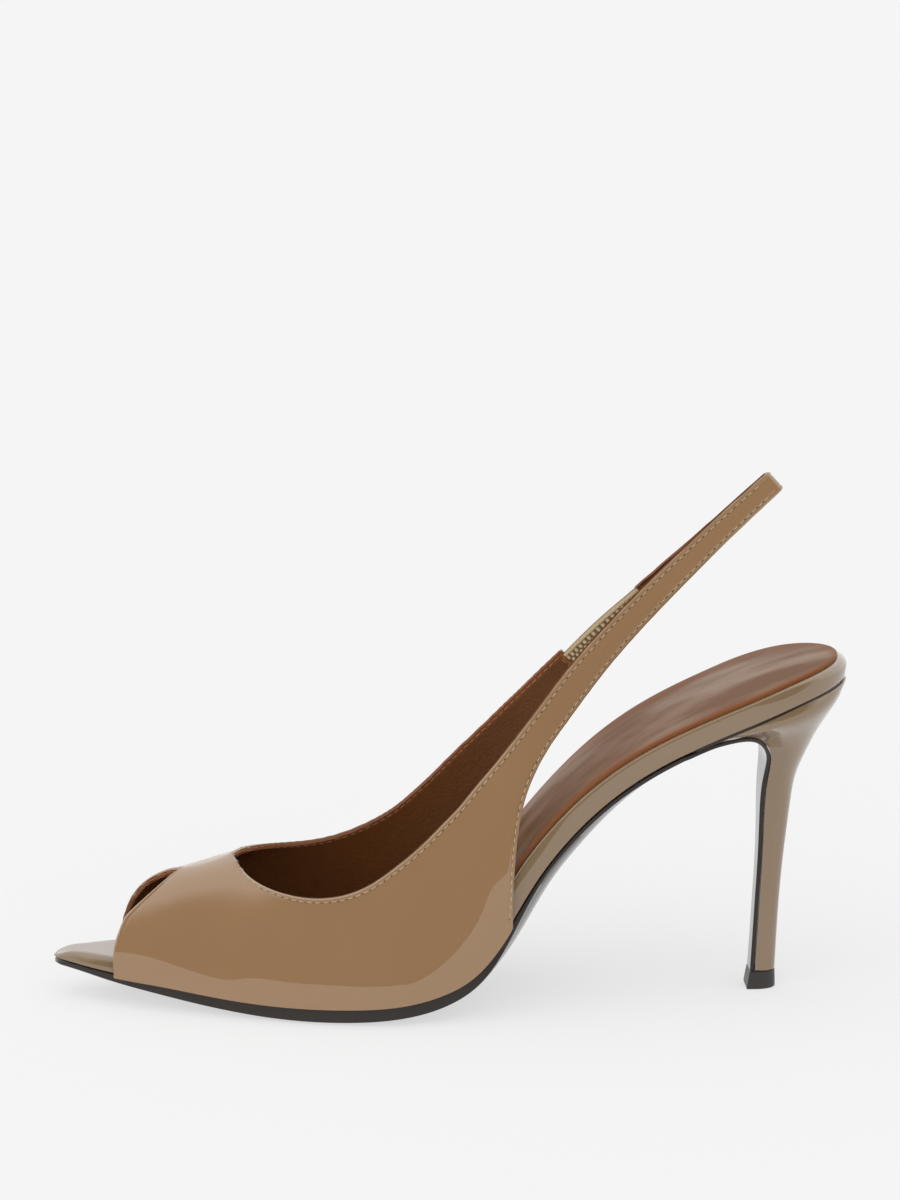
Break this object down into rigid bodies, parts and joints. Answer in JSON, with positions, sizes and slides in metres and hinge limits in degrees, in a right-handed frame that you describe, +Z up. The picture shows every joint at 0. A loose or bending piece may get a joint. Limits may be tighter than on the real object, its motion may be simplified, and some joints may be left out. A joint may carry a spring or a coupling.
{
  "type": "slingback sandal",
  "caption": "Pointed peep-toe slingback sandal in patent leather, with a slim stiletto heel and an elastic insert in the heel strap.",
  "frame": {"origin": "middle of the bounding box in plan, on the floor plane under the forefoot tread and the heel's top lift", "axes": "+X from the toe towards the heel, +Y towards the inner side of the left foot, +Z up"},
  "size_m": [0.238, 0.0716, 0.1589],
  "materials": {
    "patent": "taupe patent leather, mirror gloss",
    "sock": "brown smooth leather, satin",
    "sole": "near-black brown leather sole with a polished edge",
    "lift": "near-black matte top lift",
    "elastic": "ribbed beige elastic"
  },
  "bodies": {
    "root": {"insole_board": "patent", "sock": "sock", "outsole": "sole", "heel": "patent", "top_lift": "lift", "upper": "patent", "elastic_gore": "elastic"}
  },
  "joints": []
}
